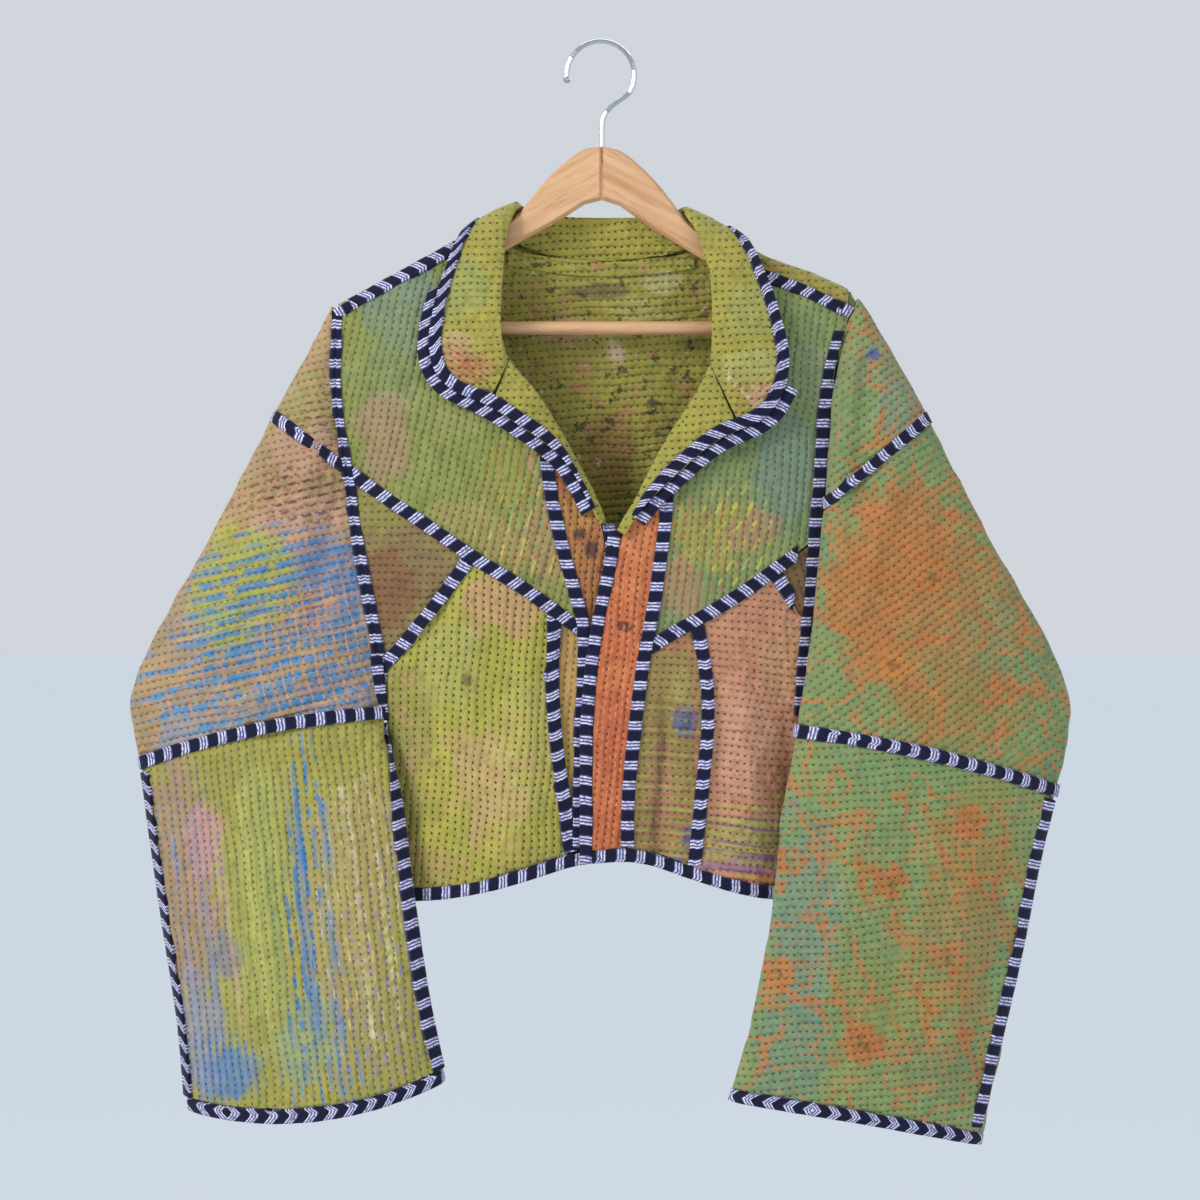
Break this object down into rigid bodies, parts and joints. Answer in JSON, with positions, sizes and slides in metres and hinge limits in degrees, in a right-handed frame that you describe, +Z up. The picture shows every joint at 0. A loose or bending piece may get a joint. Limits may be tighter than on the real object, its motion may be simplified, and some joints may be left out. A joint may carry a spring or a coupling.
{
  "type": "quilted patchwork jacket on a wooden coat hanger",
  "caption": "Short kantha quilted jacket with notched collar, wide sleeves and dark bound seams, hanging open at the neck on a wooden coat hanger with a wire hook.",
  "frame": {"origin": "inside of the top of the hanger's hook, where it rests on a rail or peg", "axes": "+Z up, +X to the right as the front of the jacket is seen, +Y from the front of the jacket to its back"},
  "size_m": [0.7617, 0.0992, 0.8925],
  "materials": {
    "cloth_sage": "quilted cotton, sage and olive green",
    "cloth_brown": "quilted cotton, brown and olive",
    "cloth_olive": "quilted cotton, yellow olive",
    "cloth_rose": "quilted cotton, faded salmon pink",
    "cloth_orange": "quilted cotton, terracotta orange",
    "cloth_striped": "quilted cotton, tan with grey blue stripes",
    "cloth_vine": "quilted cotton, green with an orange branch print",
    "binding": "cotton binding, navy with white and lilac lines",
    "beech": "clear satin varnish",
    "steel_wire": "polished plating"
  },
  "bodies": {
    "root": {"armhole_back_l_binding": "binding", "armhole_back_r_binding": "binding", "armhole_l_binding": "binding", "armhole_r_binding": "binding", "back": "cloth_olive", "band_l_binding": "binding", "band_r_binding": "binding", "collar": "cloth_olive", "collar_binding": "binding", "collar_under_l_binding": "binding", "collar_under_r_binding": "binding", "cuff_l_binding": "binding", "cuff_r_binding": "binding", "diagonal_l_binding": "binding", "diagonal_r_binding": "binding", "elbow_l_binding": "binding", "elbow_r_binding": "binding", "front_band_l": "cloth_orange", "front_band_r": "cloth_orange", "front_edge_l_binding": "binding", "front_edge_r_binding": "binding", "front_lower_l": "cloth_olive", "front_lower_r": "cloth_rose", "front_princess_l": "cloth_olive", "front_princess_r": "cloth_brown", "front_side_l": "cloth_brown", "front_side_r": "cloth_brown", "front_yoke_l": "cloth_sage", "front_yoke_r": "cloth_sage", "hanger_bar": "beech", "hanger_wood_l": "beech", "hanger_wood_r": "beech", "hem_back_binding": "binding", "hem_l_binding": "binding", "hem_r_binding": "binding", "hook": "steel_wire", "lapel_l": "cloth_olive", "lapel_r": "cloth_olive", "neck_tape": "cloth_olive", "princess_l_binding": "binding", "princess_r_binding": "binding", "shoulder_l_binding": "binding", "shoulder_r_binding": "binding", "side_l_binding": "binding", "side_r_binding": "binding", "sleeve_cap_l": "cloth_striped", "sleeve_cap_l_binding": "binding", "sleeve_cap_r": "cloth_vine", "sleeve_cap_r_binding": "binding", "sleeve_inner_l_binding": "binding", "sleeve_inner_r_binding": "binding", "sleeve_lower_back_l": "cloth_striped", "sleeve_lower_back_r": "cloth_vine", "sleeve_lower_front_l": "cloth_striped", "sleeve_lower_front_r": "cloth_vine", "sleeve_outer_l_binding": "binding", "sleeve_outer_r_binding": "binding", "sleeve_upper_l": "cloth_striped", "sleeve_upper_r": "cloth_vine"}
  },
  "joints": []
}
